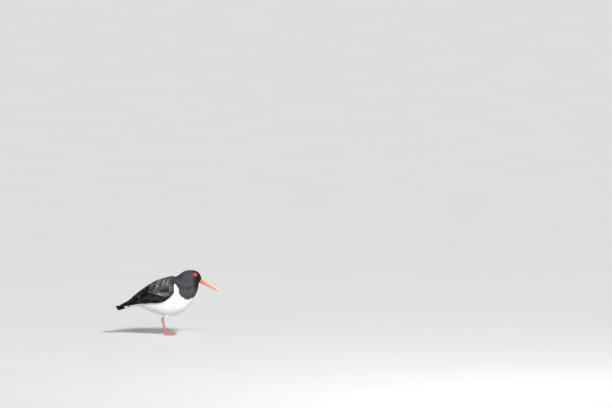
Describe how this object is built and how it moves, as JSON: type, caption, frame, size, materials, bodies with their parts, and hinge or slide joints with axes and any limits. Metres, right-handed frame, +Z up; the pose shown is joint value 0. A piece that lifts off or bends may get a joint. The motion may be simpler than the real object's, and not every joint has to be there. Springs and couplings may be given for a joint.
{
  "type": "oystercatcher",
  "caption": "Life-size standing oystercatcher: black and white wading bird with a long orange bill, red eyes and pink legs.",
  "frame": {"origin": "on the floor between the feet, midway between the tip of the bill and the tip of the tail", "axes": "+X the way the bird faces, +Y its left side, +Z up"},
  "size_m": [0.3629, 0.1176, 0.2265],
  "materials": {
    "black_plumage": "soft, slightly glossy feathers",
    "white_plumage": "soft matt feathers",
    "orange_bill": "satin horn, yellower at the tip",
    "red_eye": "wet gloss",
    "black_pupil": "wet gloss",
    "orange_eyelid": "bare skin",
    "pink_leg": "scaly skin",
    "dark_claw": "satin horn"
  },
  "bodies": {
    "root": {"bill_lower": "orange_bill", "bill_upper": "orange_bill", "claw_inner_left": "dark_claw", "claw_inner_right": "dark_claw", "claw_middle_left": "dark_claw", "claw_middle_right": "dark_claw", "claw_outer_left": "dark_claw", "claw_outer_right": "dark_claw", "eye_left": "red_eye", "eye_right": "red_eye", "eyelids_left": "orange_eyelid", "eyelids_right": "orange_eyelid", "foot_left": "pink_leg", "foot_right": "pink_leg", "head": "black_plumage", "neck": "black_plumage", "pupil_left": "black_pupil", "pupil_right": "black_pupil", "shank_left": "pink_leg", "shank_right": "pink_leg", "tail": "black_plumage", "thigh_left": "white_plumage", "thigh_right": "white_plumage", "torso_back": "black_plumage", "torso_belly": "white_plumage", "wing_left": "black_plumage", "wing_right": "black_plumage"}
  },
  "joints": []
}
